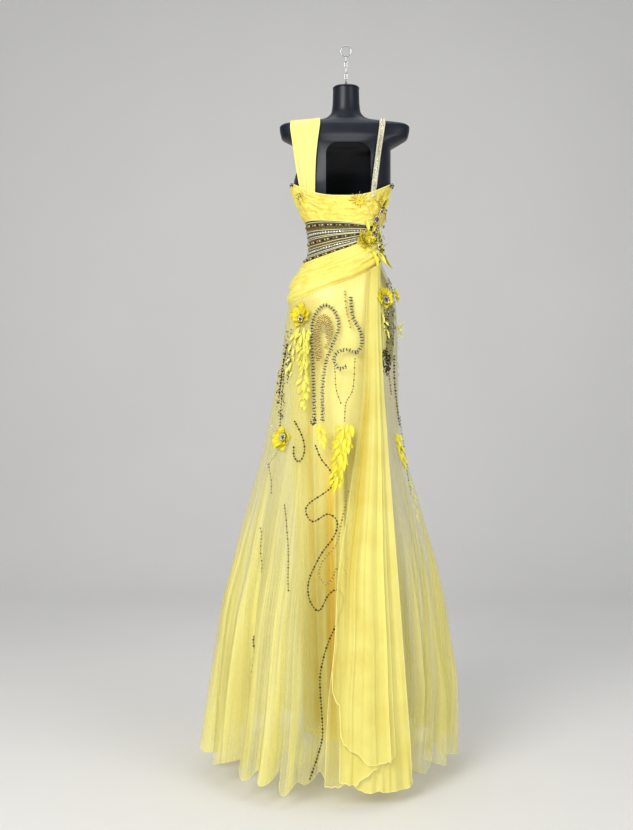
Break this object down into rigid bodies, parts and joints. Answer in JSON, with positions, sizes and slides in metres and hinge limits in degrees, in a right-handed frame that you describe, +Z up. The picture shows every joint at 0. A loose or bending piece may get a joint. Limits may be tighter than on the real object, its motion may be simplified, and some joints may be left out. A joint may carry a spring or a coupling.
{
  "type": "prom dress on a hanging dress form",
  "caption": "Floor-length prom dress with a ruched band, sheer waist, tilted sash, fluted net skirt and layered train, on a hollow-backed torso form that hangs from a chain.",
  "frame": {"origin": "inside top of the held ring, where a hook or rail carries the chain", "axes": "+Z up along the chain and the body, -Y out of the back of the dress, which is the side in the picture, +Y out of its front, +X to the wearer's right"},
  "size_m": [0.6849, 0.7038, 1.9042],
  "materials": {
    "form": "smooth dark navy plastic",
    "steel": "bright plated steel",
    "chiffon": "sheer yellow chiffon",
    "satin": "pale yellow satin",
    "net": "soft sheer yellow tulle",
    "beaded_net": "sheer net with rows of bead and sequin trim",
    "beads": "band set with rows of small white and silver beads",
    "petals": "cut and sewn chiffon petals and leaves"
  },
  "bodies": {
    "root": {"torso_form": "form", "neck_cap": "form", "chain_eye": "steel", "chain_link_1": "steel", "chain_link_2": "steel", "chain_link_3": "steel", "chain_link_4": "steel", "top_ring": "steel", "bust_band_back": "chiffon", "bust_band_front": "chiffon", "waist_back": "beaded_net", "waist_front": "beaded_net", "hip_sash_back": "chiffon", "hip_sash_front": "chiffon", "satin_lining": "satin", "net_under_back": "net", "net_under_front": "net", "net_back_left": "net", "net_back_right": "net", "net_front_right": "net", "net_front_left": "net", "train_under": "chiffon", "train_middle": "chiffon", "train_over": "chiffon", "strap_wide": "chiffon", "strap_beaded": "beads", "flower_waist": "petals", "flower_hip_right": "petals", "flower_side_right": "petals", "flower_hip_left": "petals", "flower_knee_left": "petals", "spray_hip_left": "petals", "spray_knee_centre": "petals", "spray_knee_right": "petals", "leaf_knot_upper": "petals", "leaf_knot_lower": "petals"}
  },
  "joints": []
}
